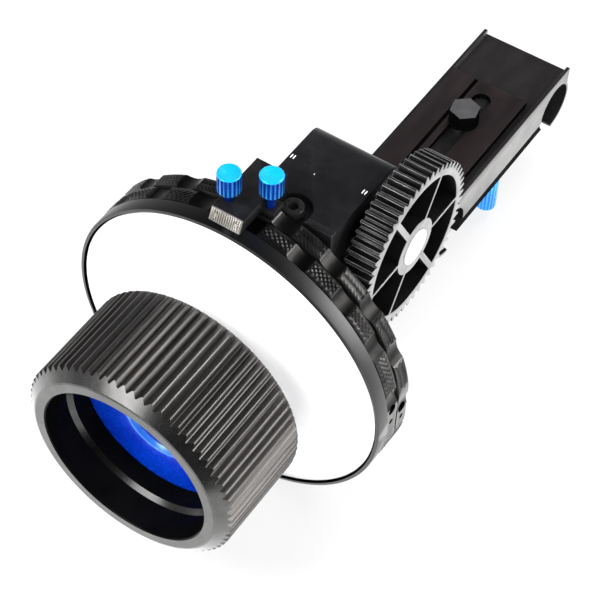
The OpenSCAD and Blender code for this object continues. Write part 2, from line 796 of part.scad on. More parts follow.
module front_thumbscrew_pad() {
    color([0.85, 0.82, 0.7]) bar_z(thumb_a[0], thumb_a[1], pad_r, pad_rest, pad_rest + pad_len);
}

module rear_thumbscrew_pad() {
    color([0.85, 0.82, 0.7]) bar_z(thumb_b[0], thumb_b[1], pad_r, pad_rest, pad_rest + pad_len);
}

// ---- Gear train --------------------------------------------------------------

module layshaft() {
    color([0.75, 0.75, 0.77]) bar_y(lay_x, drive_z, small_shaft_r, cover_back, drive_y - mitre_r + 1.4);
}

module layshaft_pinion() {
    color([0.76, 0.62, 0.3]) translate([lay_x, 0, drive_z]) difference() {
        prism_y(gear_front, gear_back) rotate(mesh_angle + 180 + 180 / pinion_teeth)
            gear_outline(train_module, pinion_teeth, 0.84, 0.64, 0.95);
        bar_y(0, 0, small_shaft_r + run, gear_front - 1, gear_back + 1);
    }
}

module layshaft_mitre_gear() {
    hub_h = drive_y - mitre_r - shelf_front - shelf_t - 0.3;
    color([0.7, 0.7, 0.72]) translate([lay_x, drive_y - mitre_r, drive_z]) rotate([-90, 0, 0])
        mitre_body(small_shaft_r + run, hub_h);
}

module output_mitre_gear() {
    hub_h = bearing_x_right - lay_x - mitre_r - 0.4;
    color([0.7, 0.7, 0.72]) translate([lay_x + mitre_r, drive_y, drive_z]) rotate([0, -90, 0])
        rotate(90 + 180 / mitre_teeth) mitre_body(small_shaft_r + run, hub_h);
}

module output_shaft() {
    color([0.75, 0.75, 0.77])
        bar_x(drive_y, drive_z, small_shaft_r, case_left - side_boss_t + 0.6, drive_front - 1.6);
}

module drive_gear() {
    tip = drive_module * (drive_teeth + 2) / 2;
    color([0.13, 0.13, 0.13]) translate([0, drive_y, drive_z]) difference() {
        union() {
            difference() {
                prism_x(drive_x, drive_front)
                    gear_outline(drive_module, drive_teeth, 0.94, 0.8, 1);
                prism_x(drive_x - 1, drive_front + 1) circle(drive_rim_r);
            }
            prism_x(drive_x, drive_front) circle(drive_hub_r);
            prism_x(drive_x, drive_x + drive_web_t) circle(drive_rim_r + 0.5);
            prism_x(drive_x, drive_front) intersection() {
                circle(tip - 2.5);
                for (i = [0:spokes / 2 - 1]) rotate(i * 360 / spokes)
                    square([2 * tip, i == 2 ? spoke_wide_t : spoke_t], center = true);
            }
        }
        bar_x(0, 0, small_shaft_r + run, drive_x - 1, drive_front + 1);
        bar_x(0, 0, drive_cap_r + 0.02, drive_front - 1.4, drive_front + 1);
    }
}

module drive_gear_cap() {
    color([0.95, 0.95, 0.95]) bar_x(drive_y, drive_z, drive_cap_r, drive_front - 1.3, drive_front + 0.3);
}

// ---- Bridge ------------------------------------------------------------------

module bridge_outline() {
    union() {
        translate([front_rod_y - bridge_end, rod_z]) square([rod_pitch + 2 * bridge_end, deck_z - rod_z]);
        translate([front_rod_y, bridge_bottom]) square([rod_pitch, deck_z - bridge_bottom]);
        for (y = [front_rod_y, rear_rod_y]) translate([y, rod_z]) circle(hook_r);
    }
}

module rod_bridge() {
    color([0.3, 0.3, 0.31]) difference() {
        union() {
            prism_x(bridge_left, bridge_right) difference() {
                bridge_outline();
                translate([front_rod_y, jaw_bottom - clear_below])
                    square([rod_pitch, bridge_bottom - jaw_bottom + clear_below]);
            }
            for (x = [bridge_left, bridge_right - lip_t])
                span(x, x + lip_t, front_rod_y - bridge_end, rear_rod_y + bridge_end,
                    deck_z - 1, lip_z);
        }
        for (y = [front_rod_y, rear_rod_y]) bar_x(y, rod_z, rod_r, bridge_left - 1, bridge_right + 1);
        bar_z(bridge_x, mid_y, 2 + run, bridge_bottom - 1, deck_z + 1);
        bar_z(clamp_x, mid_y, clamp_shank_r + run, bridge_bottom - 1, deck_z - 1.2);
        bar_z(guide_x, mid_y, 2 + run, bridge_bottom - 1, deck_z - 1.2);
    }
}

module slide_plate() {
    color([0.2, 0.18, 0.18]) difference() {
        span(plate_left, plate_right, foot_front + 0.4, plate_back, plate_bottom, plate_top);
        span(bridge_x - slot_r, bridge_x + slot_r, slot_front, slot_back, plate_bottom - 1, plate_top + 1);
        for (y = [slot_front, slot_back]) bar_z(bridge_x, y, slot_r, plate_bottom - 1, plate_top + 1);
        span(groove_x - 0.6, groove_x + 0.6, case_back + 4, plate_back + 1, plate_top - 0.7, plate_top + 1);
        for (p = plate_screws) translate([p[0], p[1], plate_bottom]) mirror([0, 0, 1])
            flat_screw_hole(plate_head_r, 1.5, 3);
    }
}

module slide_plate_screws() {
    color([0.1, 0.1, 0.11]) for (p = plate_screws) translate([p[0], p[1], plate_bottom])
        mirror([0, 0, 1]) flat_screw(plate_head_r, 1.5, plate_screw_len);
}

module slide_bolt() {
    color([0.3, 0.3, 0.31]) {
        bar_z(bridge_x, mid_y, 2, bridge_bottom + 0.2, plate_top + 1.1);
        bar_z(bridge_x, mid_y, 4.4, plate_top + 0.1, plate_top + 1);
        translate([bridge_x, mid_y, plate_top + 1 - eps]) rotate(12)
            cylinder(r = 4.5, h = 4, $fn = 6);
    }
}

module slide_bolt_collar() {
    color([0.6, 0.6, 0.6]) difference() {
        bar_z(bridge_x, mid_y, slot_r - 0.1, deck_z, plate_top + 0.1 - eps);
        bar_z(bridge_x, mid_y, 2 + run, deck_z - 1, plate_top + 1);
    }
}

module bridge_guide_pin() {
    color([0.75, 0.75, 0.77]) bar_z(guide_x, mid_y, 2, jaw_bottom + 0.6, deck_z - 1.4);
}

module clamp_jaw() {
    color([0.06, 0.06, 0.06]) difference() {
        span(bridge_left + jaw_inset, bridge_right - jaw_inset, front_rod_y + 0.5, rear_rod_y - 0.5,
            jaw_bottom, jaw_top);
        for (y = [front_rod_y, rear_rod_y]) bar_x(y, rod_z, rod_r, bridge_left - 1, bridge_right + 1);
        bar_z(clamp_x, mid_y, 2.1, jaw_bottom - 1, jaw_top + 1);
        bar_z(guide_x, mid_y, 2 + 2 * run, jaw_bottom - 1, jaw_top + 1);
    }
}

module clamp_screw() {
    color([0.05, 0.4, 0.95]) translate([clamp_x, mid_y, 0]) mirror([0, 0, 1])
        thumbscrew(-clamp_head_top, -clamp_head_bottom, clamp_shank_r, -clamp_shank_top);
}

// The clip holds the jaw on the screw, so that the jaw drops with it.
module clamp_screw_clip() {
    color([0.5, 0.5, 0.5]) difference() {
        bar_z(clamp_x, mid_y, clip_r, jaw_top + 0.05, jaw_top + 0.05 + clip_t);
        bar_z(clamp_x, mid_y, clamp_shank_r + run, jaw_top - 1, jaw_top + 1);
    }
}

handwheel_grip();
hub_plate();
hub_screws();
wheel_spindle();
spindle_nut();
marking_disc();
disc_bezel();
ring_drum();
ring_retainer();
retainer_screws();
stop_pegs();
friction_washers();
input_shaft();
drive_pin();
input_gear();
stop_ring_front();
stop_ring_rear();
gearbox_housing();
front_cover();
cover_screws();
input_bearings();
layshaft_bearings();
layshaft_carrier();
output_bearings();
bearing_cap();
top_cap_screw();
stop_block();
index_plate();
index_screws();
block_screw();
block_dowel();
slide_plate();
slide_plate_screws();
layshaft();
layshaft_pinion();
layshaft_mitre_gear();
output_shaft();
output_mitre_gear();
drive_gear();
drive_gear_cap();
front_thumbscrew();
front_thumbscrew_pad();
rear_thumbscrew();
rear_thumbscrew_pad();
rod_bridge();
slide_bolt();
slide_bolt_collar();
bridge_guide_pin();
clamp_jaw();
clamp_screw();
clamp_screw_clip();
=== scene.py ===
# Follow focus unit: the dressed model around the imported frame.
# Units are metres in Blender, and sizes in the dictionaries below are millimetres.
import math

import bpy
import bmesh
from mathutils import Matrix, Vector


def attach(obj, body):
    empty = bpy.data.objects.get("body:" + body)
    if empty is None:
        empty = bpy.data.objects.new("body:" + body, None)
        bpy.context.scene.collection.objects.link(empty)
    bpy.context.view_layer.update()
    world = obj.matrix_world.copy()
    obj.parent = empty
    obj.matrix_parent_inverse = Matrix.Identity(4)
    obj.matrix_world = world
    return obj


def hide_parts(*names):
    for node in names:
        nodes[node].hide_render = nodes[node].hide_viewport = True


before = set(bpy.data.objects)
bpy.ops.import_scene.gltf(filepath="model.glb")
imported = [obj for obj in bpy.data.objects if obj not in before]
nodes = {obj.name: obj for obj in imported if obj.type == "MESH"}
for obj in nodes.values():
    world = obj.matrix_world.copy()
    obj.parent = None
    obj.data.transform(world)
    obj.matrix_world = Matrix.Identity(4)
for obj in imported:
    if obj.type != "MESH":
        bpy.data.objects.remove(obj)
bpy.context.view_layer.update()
mm = 0.001

# tolerances in millimetres: about the axis, already in place, on one level, and three margins
onAxis, inPlace, level = 0.01, 0.002, 0.0015
close, aside, clear = 0.02, 0.05, 0.1
# vertices nearer than this are one, in metres, and faces within this angle are one, in degrees
turnedWeld, nodeWeld, flatWithin = 2e-6, 3e-6, 0.6
# how much of a face's normal lies along an axis that the face looks along
facing = 0.8
print("frame loaded:", len(nodes), "nodes")


# helpers: all lengths that they take are millimetres

def deselectAll():
    if bpy.context.object and bpy.context.object.mode != "OBJECT":
        bpy.ops.object.mode_set(mode="OBJECT")
    bpy.ops.object.select_all(action="DESELECT")


def makeActive(obj):
    deselectAll()
    obj.select_set(True)
    bpy.context.view_layer.objects.active = obj


def bakePlace(obj):
    makeActive(obj)
    bpy.ops.object.transform_apply(location=True, rotation=True, scale=True)


def pick(obj, test, mode="FACE"):
    # selects the faces, edges or vertices that pass test, and stays in edit mode
    bpy.ops.object.mode_set(mode="EDIT")
    bpy.ops.mesh.select_mode(type=mode)
    bpy.ops.mesh.select_all(action="DESELECT")
    bm = bmesh.from_edit_mesh(obj.data)
    group = {"FACE": bm.faces, "EDGE": bm.edges, "VERT": bm.verts}[mode]
    for part in group:
        if test(part):
            part.select_set(True)
    bm.select_flush_mode()
    bmesh.update_edit_mesh(obj.data)


def objectMode():
    bpy.ops.object.mode_set(mode="OBJECT")


def applyAll(obj):
    makeActive(obj)
    for mod in list(obj.modifiers):
        bpy.ops.object.modifier_apply(modifier=mod.name)


def smoothByAngle(obj, degrees):
    makeActive(obj)
    bpy.ops.object.shade_smooth_by_angle(angle=math.radians(degrees))


def bevelled(obj, width, segments=2, angle=32, slot=-1):
    # slot: the material slot that the new edge faces take, or -1 for their neighbours'
    bev = obj.modifiers.new("edgeRound", "BEVEL")
    bev.material = slot
    bev.width = width * mm
    bev.segments = segments
    bev.limit_method = "ANGLE"
    bev.angle_limit = math.radians(angle)
    bev.harden_normals = False
    applyAll(obj)


def cutBy(obj, cutter, operation="DIFFERENCE"):
    boo = obj.modifiers.new("cut", "BOOLEAN")
    boo.operation = operation
    boo.solver = "EXACT"
    boo.object = cutter
    applyAll(obj)
    bpy.data.objects.remove(cutter)


def joined(objs, name):
    deselectAll()
    for o in objs:
        o.select_set(True)
    bpy.context.view_layer.objects.active = objs[0]
    bpy.ops.object.join()
    objs[0].name = name
    return objs[0]


def cylinder(name, radius, start, end, count, x, z, axis="Y"):
    # a cylinder between two stations along Y at x and z, or along X at y = x and z
    mid = (start + end) / 2
    turn, place = {"Y": ((math.pi / 2, 0, 0), (x, mid, z)),
                   "X": ((0, math.pi / 2, 0), (mid, x, z))}[axis]
    deselectAll()
    bpy.ops.mesh.primitive_cylinder_add(
        vertices=count, radius=radius * mm, depth=(end - start) * mm,
        location=[v * mm for v in place], rotation=turn, end_fill_type="NGON")
    obj = bpy.context.object
    obj.name = name
    bakePlace(obj)
    return obj


def box(name, low, high):
    deselectAll()
    middle = [(a + b) / 2 * mm for a, b in zip(low, high)]
    bpy.ops.mesh.primitive_cube_add(size=1, location=middle)
    obj = bpy.context.object
    obj.name = name
    obj.scale = [(b - a) * mm for a, b in zip(low, high)]
    bakePlace(obj)
    return obj


def turned(name, profile, count, closed=True):
    # a turned piece about Y: the profile is a list of (radius, y), spun round the axis
    deselectAll()
    bpy.ops.mesh.primitive_plane_add(size=1)
    obj = bpy.context.object
    obj.name = name
    mesh = obj.data
    mesh.clear_geometry()
    points = [(r * mm, y * mm, 0) for r, y in profile]
    edges = [(i, i + 1) for i in range(len(points) - 1)]
    if closed:
        edges.append((len(points) - 1, 0))
    mesh.from_pydata(points, edges, [])
    bpy.ops.object.mode_set(mode="EDIT")
    bpy.ops.mesh.select_all(action="SELECT")
    bpy.ops.mesh.spin(steps=count, angle=2 * math.pi, center=(0, 0, 0), axis=(0, 1, 0))
    bpy.ops.mesh.select_all(action="SELECT")
    bpy.ops.mesh.remove_doubles(threshold=turnedWeld)
    bpy.ops.mesh.normals_make_consistent(inside=False)
    objectMode()
    return obj


def moved(obj, x, y, z):
    obj.location = (x * mm, y * mm, z * mm)
    bakePlace(obj)
    return obj


def mergedCopy(nodeName, newName):
    # a copy of a CAD node as a clean mesh, ready for bevels
    src = nodes[nodeName]
    obj = bpy.data.objects.new(newName, src.data.copy())
    bpy.context.collection.objects.link(obj)
    obj.data.materials.clear()
    makeActive(obj)
    bpy.ops.object.mode_set(mode="EDIT")
    bpy.ops.mesh.select_all(action="SELECT")
    bpy.ops.mesh.remove_doubles(threshold=nodeWeld)
    bpy.ops.mesh.dissolve_limited(angle_limit=math.radians(flatWithin))
    objectMode()
    return obj


def columnOf(vert, count):
    # which of count equal angle steps about Y the vertex stands on
    return round(math.atan2(vert.co.z, vert.co.x) / (2 * math.pi) * count) % count


def radiusOf(co):
    return math.hypot(co.x, co.z) / mm


def setRadius(obj, test, radius):
    # draws the vertices that pass test in or out to a radius about Y
    makeActive(obj)
    found = {round(radiusOf(v.co), 3) for v in obj.data.vertices if test(v)}
    for now in found:
        if now > onAxis and abs(now - radius) > inPlace:
            pick(obj, lambda v: test(v) and abs(radiusOf(v.co) - now) < level, "VERT")
            k = radius / now
            bpy.ops.transform.resize(value=(k, 1, k), center_override=(0, 0, 0))
    objectMode()


def setStation(obj, test, y):
    # slides the vertices that pass test along Y to a station
    makeActive(obj)
    found = {round(v.co.y / mm, 3) for v in obj.data.vertices if test(v)}
    for now in found:
        pick(obj, lambda v: test(v) and abs(v.co.y / mm - now) < level, "VERT")
        bpy.ops.transform.translate(value=(0, (y - now) * mm, 0))
    objectMode()


def paint(obj, material, test=None):
    # gives the whole piece a material, or only the faces that pass test
    if material.name not in [m.name for m in obj.data.materials if m]:
        obj.data.materials.append(material)
    index = [m.name for m in obj.data.materials].index(material.name)
    for face in obj.data.polygons:
        if test is None or test(face):
            face.material_index = index


def ready(obj, body, slotName, *replaced):
    # the piece is finished: it rides on its body and stands for its CAD node
    obj.select_set(False)
    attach(obj, body)
    if replaced:
        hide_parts(*replaced)
    return obj


# finishes

def grey(level):
    return (level, level, level)


def newFinish(name, metallic, coat=0.0, coatRough=0.1, shine=0.5):
    mat = bpy.data.materials.new(name)
    mat.use_nodes = True
    shader = mat.node_tree.nodes["Principled BSDF"]
    shader.inputs["Metallic"].default_value = metallic
    shader.inputs["Coat Weight"].default_value = coat
    shader.inputs["Coat Roughness"].default_value = coatRough
    shader.inputs["Specular IOR Level"].default_value = shine
    return mat, mat.node_tree.nodes, mat.node_tree.links, shader


def noiseAt(tree, links, scale, detail, stretch):
    coords = tree.new("ShaderNodeTexCoord")
    mapping = tree.new("ShaderNodeMapping")
    mapping.inputs["Scale"].default_value = stretch
    noise = tree.new("ShaderNodeTexNoise")
    noise.inputs["Scale"].default_value = scale
    noise.inputs["Detail"].default_value = detail
    links.new(coords.outputs["Object"], mapping.inputs["Vector"])
    links.new(mapping.outputs["Vector"], noise.inputs["Vector"])
    return noise


def rampOf(tree, links, source, stops):
    ramp = tree.new("ShaderNodeValToRGB")
    while len(ramp.color_ramp.elements) < len(stops):
        ramp.color_ramp.elements.new(0.5)
    for element, (place, colour) in zip(ramp.color_ramp.elements, stops):
        element.position = place
        element.color = (*colour, 1)
    links.new(source, ramp.inputs["Fac"])
    return ramp


def spread(tree, links, source, low, high, fromLow=0.3, fromHigh=0.7):
    remap = tree.new("ShaderNodeMapRange")
    remap.inputs["From Min"].default_value = fromLow
    remap.inputs["From Max"].default_value = fromHigh
    remap.inputs["To Min"].default_value = low
    remap.inputs["To Max"].default_value = high
    links.new(source, remap.inputs["Value"])
    return remap


def mixColours(tree, links, factor, first, second, blend="MIX"):
    # factor and the two colours are outputs to link, or fixed values
    mix = tree.new("ShaderNodeMix")
    mix.data_type = "RGBA"
    mix.blend_type = blend
    for name, given in (("Factor", factor), ("A", first), ("B", second)):
        if isinstance(given, bpy.types.NodeSocket):
            links.new(given, mix.inputs[name])
        else:
            mix.inputs[name].default_value = given
    return mix.outputs["Result"]


# the broad and the fine noise of a metal, and the pointiness below which the grooves take painted
# shade
mottle = {"coarser": 14, "broadDetail": 2.0, "fineDetail": 4.0, "low": 0.3, "high": 0.7,
          "speck": 0.35, "grooveShadeFrom": 0.4, "grooveShadeTo": 0.5}


def metalFinish(name, dark, light, rough, metallic, grain, bump, stretch=(1, 1, 1), depth=0.02,
                edge=None, edgeFrom=0.52, edgeTo=0.62, hollow=None, **more):
    # machined, blasted or anodised metal: mottled colour, uneven gloss, fine grain,
    # where edge is given a painted highlight along sharp edges, and where hollow is
    # given painted shade down in the grooves
    mat, tree, links, shader = newFinish(name, metallic, **more)
    broad = noiseAt(tree, links, grain / mottle["coarser"], mottle["broadDetail"], stretch)
    fine = noiseAt(tree, links, grain, mottle["fineDetail"], stretch).outputs["Fac"]
    colour = rampOf(tree, links, broad.outputs["Fac"],
                    [(mottle["low"], dark), (mottle["high"], light)])
    out = mixColours(tree, links, mottle["speck"], colour.outputs["Color"], fine, "OVERLAY")
    if edge or hollow:
        point = tree.new("ShaderNodeNewGeometry").outputs["Pointiness"]
    if edge:
        # painted highlight along sharp edges, where the pointiness is high
        paintedEdgeLight = spread(tree, links, point, 0, 1, edgeFrom, edgeTo)
        out = mixColours(tree, links, paintedEdgeLight.outputs["Result"], out, (*edge, 1))
    if hollow:
        # painted shade down in the grooves, where the pointiness is low
        sunk = spread(tree, links, point, hollow, 1, mottle["grooveShadeFrom"], mottle["grooveShadeTo"])
        out = mixColours(tree, links, 1, out, sunk.outputs["Result"], "MULTIPLY")
    links.new(out, shader.inputs["Base Color"])
    gloss = spread(tree, links, fine, *rough)
    links.new(gloss.outputs["Result"], shader.inputs["Roughness"])
    grainBump = tree.new("ShaderNodeBump")
    grainBump.inputs["Strength"].default_value = bump
    grainBump.inputs["Distance"].default_value = depth * mm
    links.new(fine, grainBump.inputs["Height"])
    links.new(grainBump.outputs["Normal"], shader.inputs["Normal"])
    return mat


# in the finishes below, edge is a painted highlight along sharp edges and hollow is painted shade
# in the grooves
finishTable = {
    "gripFlutes": dict(
        dark=(0.05, 0.047, 0.045), light=(0.11, 0.104, 0.1), rough=(0.32, 0.46), metallic=0.9,
        grain=3200, stretch=(1, 0.05, 1), bump=0.4, depth=0.03, edge=(0.34, 0.34, 0.33),
        edgeFrom=0.56, edgeTo=0.7, hollow=0.25),
    "gripRim": dict(
        dark=(0.06, 0.059, 0.058), light=(0.085, 0.084, 0.083), rough=(0.2, 0.28), metallic=0.92,
        grain=3000, bump=0.05),
    # painted shade: the bore's walls near black and without gloss
    "boreShadeBlack": dict(
        dark=grey(0.0015), light=grey(0.003), rough=(0.16, 0.26), metallic=0.0, grain=1200,
        bump=0.02, shine=0.02),
    "ledgeGrey": dict(
        dark=grey(0.035), light=grey(0.055), rough=(0.2, 0.28), metallic=0.95, grain=2200,
        bump=0.05),
    "hubBlue": dict(
        dark=(0.0, 0.035, 0.62), light=(0.0, 0.07, 0.85), rough=(0.22, 0.3), metallic=0.3,
        grain=700, bump=0.03, coat=0.2, coatRough=0.05),
    "discWhite": dict(
        dark=(0.86, 0.86, 0.87), light=(0.9, 0.9, 0.91), rough=(0.35, 0.45), metallic=0.0,
        grain=1500, bump=0.03, shine=0.3),
    "bezelGrey": dict(
        dark=(0.008, 0.008, 0.0084), light=(0.016, 0.016, 0.0168), rough=(0.4, 0.52), metallic=1.0,
        grain=3200, bump=0.25, edge=grey(0.2)),
    "ringBlack": dict(
        dark=grey(0.018), light=(0.06, 0.058, 0.057), rough=(0.3, 0.44), metallic=0.95, grain=3000,
        bump=0.25, edge=(0.16, 0.155, 0.15), hollow=0.15),
    # painted shade in the stop rings' scallops
    "scoopShade": dict(
        dark=grey(0.012), light=(0.03, 0.029, 0.028), rough=(0.32, 0.5), metallic=0.97, grain=2600,
        bump=0.2),
    "caseBlack": dict(
        dark=(0.07, 0.07, 0.075), light=(0.1, 0.1, 0.107), rough=(0.36, 0.46), metallic=0.95,
        grain=2600, bump=0.25, depth=0.03),
    "blockBlack": dict(
        dark=(0.01, 0.01, 0.011), light=(0.025, 0.025, 0.027), rough=(0.4, 0.5), metallic=0.6,
        grain=2600, bump=0.15),
    "plateBrown": dict(
        dark=(0.016, 0.011, 0.0115), light=(0.03, 0.022, 0.023), rough=(0.42, 0.56), metallic=0.6,
        grain=2400, stretch=(1, 0.25, 1), bump=0.2),
    "bridgeGrey": dict(
        dark=(0.03, 0.027, 0.028), light=(0.05, 0.046, 0.047), rough=(0.36, 0.5), metallic=0.75,
        grain=2400, stretch=(1, 0.3, 1), bump=0.2),
    # painted light on the bridge's side facing +X
    "bridgeSideLight": dict(
        dark=(0.12, 0.118, 0.116), light=(0.18, 0.177, 0.174), rough=(0.34, 0.46), metallic=0.85,
        grain=2400, bump=0.15),
    # a painted highlight on the hub's conical step
    "hubRingHighlight": dict(
        dark=(0.02, 0.17, 0.85), light=(0.06, 0.32, 1.0), rough=(0.2, 0.3), metallic=0.1, grain=700,
        bump=0.03, coat=0.4, coatRough=0.05),
    # painted shade in the hub's sunk middle
    "hubSinkShade": dict(
        dark=(0.0, 0.02, 0.35), light=(0.0, 0.05, 0.5), rough=(0.2, 0.3), metallic=0.3, grain=700,
        bump=0.03, coat=0.2, coatRough=0.05),
    # the jaw's own black, also used as painted shade inside the bridge's hooks
    "jawBlackAndHookShade": dict(
        dark=grey(0.008), light=grey(0.016), rough=(0.4, 0.55), metallic=0.0, grain=2400, bump=0.2,
        shine=0.0),
    # painted shade for slots, gaps and walls where shade falls
    "paintedShadeBlack": dict(
        dark=grey(0.001), light=grey(0.003), rough=(0.5, 0.6), metallic=0.0, grain=2400, bump=0.1,
        shine=0.0),
    # painted highlight on the bridge's bevelled edges
    "bridgeEdgeHighlight": dict(
        dark=(0.09, 0.088, 0.088), light=(0.15, 0.147, 0.147), rough=(0.34, 0.46), metallic=0.9,
        grain=2400, bump=0.15),
    "gearBlack": dict(
        dark=grey(0.002), light=grey(0.006), rough=(0.34, 0.46), metallic=0.3, grain=2000,
        bump=0.12, edge=grey(0.3), edgeFrom=0.57, edgeTo=0.68, shine=0.3),
    # painted highlight on the gear's bevelled edges
    "gearEdgeHighlight": dict(
        dark=grey(0.1), light=grey(0.3), rough=(0.35, 0.5), metallic=0.6, grain=2400, bump=0.1),
    # painted light on the gear's front face
    "gearFaceLit": dict(
        dark=grey(0.19), light=grey(0.25), rough=(0.3, 0.4), metallic=0.8, grain=2000, bump=0.1),
    "capWhite": dict(
        dark=(0.82, 0.82, 0.83), light=grey(0.92), rough=(0.25, 0.35), metallic=0.1, grain=1200,
        bump=0.05),
    # painted light on the heads' tops
    "blueTopLit": dict(
        dark=(0.0, 0.33, 0.85), light=(0.0, 0.42, 0.95), rough=(0.3, 0.4), metallic=0.2, grain=2000,
        bump=0.08),
    "blueSide": dict(
        dark=(0.0, 0.035, 0.3), light=(0.0, 0.09, 0.55), rough=(0.25, 0.36), metallic=0.5,
        grain=2000, bump=0.08, edge=(0.1, 0.55, 1.0), edgeFrom=0.53, edgeTo=0.6),
    # a lighter blue for sides in painted light
    "blueLit": dict(
        dark=(0.0, 0.16, 0.7), light=(0.0, 0.27, 0.85), rough=(0.25, 0.36), metallic=0.3,
        grain=2000, bump=0.08, edge=(0.1, 0.6, 1.0)),
    # painted shade on the pins under the heads
    "bluePinShade": dict(
        dark=(0.0, 0.012, 0.16), light=(0.0, 0.03, 0.26), rough=(0.25, 0.36), metallic=0.5,
        grain=2000, bump=0.08),
    "indexSilver": dict(
        dark=(0.16, 0.15, 0.135), light=(0.44, 0.42, 0.38), rough=(0.3, 0.45), metallic=0.7,
        grain=2600, bump=0.4),
    "screwBlack": dict(
        dark=(0.02, 0.02, 0.021), light=(0.05, 0.05, 0.052), rough=(0.2, 0.35), metallic=0.7,
        grain=2000, bump=0.1),
    "boltGrey": dict(
        dark=(0.045, 0.045, 0.047), light=(0.085, 0.085, 0.088), rough=(0.35, 0.5), metallic=0.3,
        grain=1500, bump=0.3),
    "steelBright": dict(
        dark=(0.5, 0.5, 0.51), light=(0.66, 0.66, 0.67), rough=(0.2, 0.32), metallic=0.95,
        grain=1500, stretch=(1, 0.2, 1), bump=0.1),
    "steelPlain": dict(
        dark=(0.42, 0.42, 0.43), light=(0.55, 0.55, 0.56), rough=(0.32, 0.45), metallic=0.9,
        grain=1600, bump=0.15),
    "gearBrass": dict(
        dark=(0.6, 0.44, 0.16), light=(0.78, 0.6, 0.28), rough=(0.22, 0.34), metallic=0.95,
        grain=1500, bump=0.1),
    "washerBlack": dict(
        dark=grey(0.012), light=grey(0.03), rough=(0.5, 0.6), metallic=0.0, grain=1500, bump=0.1),
    "padCream": dict(
        dark=(0.7, 0.66, 0.52), light=(0.8, 0.76, 0.62), rough=(0.45, 0.55), metallic=0.0,
        grain=1500, bump=0.1),
    "tickWhite": dict(
        dark=grey(0.8), light=grey(0.9), rough=(0.5, 0.6), metallic=0.0, grain=1500, bump=0.1),
}
finishes = {name: metalFinish(name, **look) for name, look in finishTable.items()}
print("finishes made:", len(finishes))

# finishes of the CAD nodes that stay as they are
keptFinishes = {
    "hub_screws": "screwBlack", "wheel_spindle": "bezelGrey", "spindle_nut": "screwBlack",
    "ring_drum": "bezelGrey", "ring_retainer": "bezelGrey", "retainer_screws": "screwBlack",
    "stop_pegs": "steelBright", "friction_washers": "washerBlack", "input_shaft": "steelBright",
    "drive_pin": "steelBright", "input_gear": "gearBrass", "cover_screws": "screwBlack",
    "input_bearings": "steelPlain", "layshaft_bearings": "steelPlain",
    "layshaft_carrier": "steelPlain", "output_bearings": "steelPlain", "bearing_cap": "caseBlack",
    "index_screws": "indexSilver", "block_dowel": "steelPlain",
    "slide_plate_screws": "screwBlack", "layshaft": "steelBright", "layshaft_pinion": "gearBrass",
    "layshaft_mitre_gear": "steelPlain", "output_shaft": "steelBright",
    "output_mitre_gear": "steelPlain", "front_thumbscrew_pad": "padCream",
    "rear_thumbscrew_pad": "padCream", "slide_bolt_collar": "steelPlain",
    "bridge_guide_pin": "steelBright", "clamp_screw_clip": "steelPlain",
}

# handwheel

grip = {
    "flutes": 72, "perFlute": 8, "outer": 30.7, "floor": 29.6, "front": -43.7, "back": -11.9,
    "rim": 27.3, "rimIn": 0.5, "rimBack": 0.18, "rimDeep": 0.95, "lip": 0.35, "bore": 23.9,
    "ledgeAt": -35.2, "ledgeDeep": 1.2, "ledgeTo": 22.7, "web": -26.0, "webBack": -21.5,
    "webBore": 12.0, "backBore": 20.7, "crestAt": -40.85, "tipAt": -41.71,
    # the rounding of the back edge: how far in and how far forward
    "backRound": [(0, 2.2), (0.25, 1.15), (0.95, 0.4), (2.1, 0)],
    # which columns of a flute lie how deep: the valley, then the two steps of its walls
    "walls": [(1, (4, 5)), (0.667, (3, 6)), (0.333, (2, 7))],
    "crests": (0, 1), "smooth": 14,
}


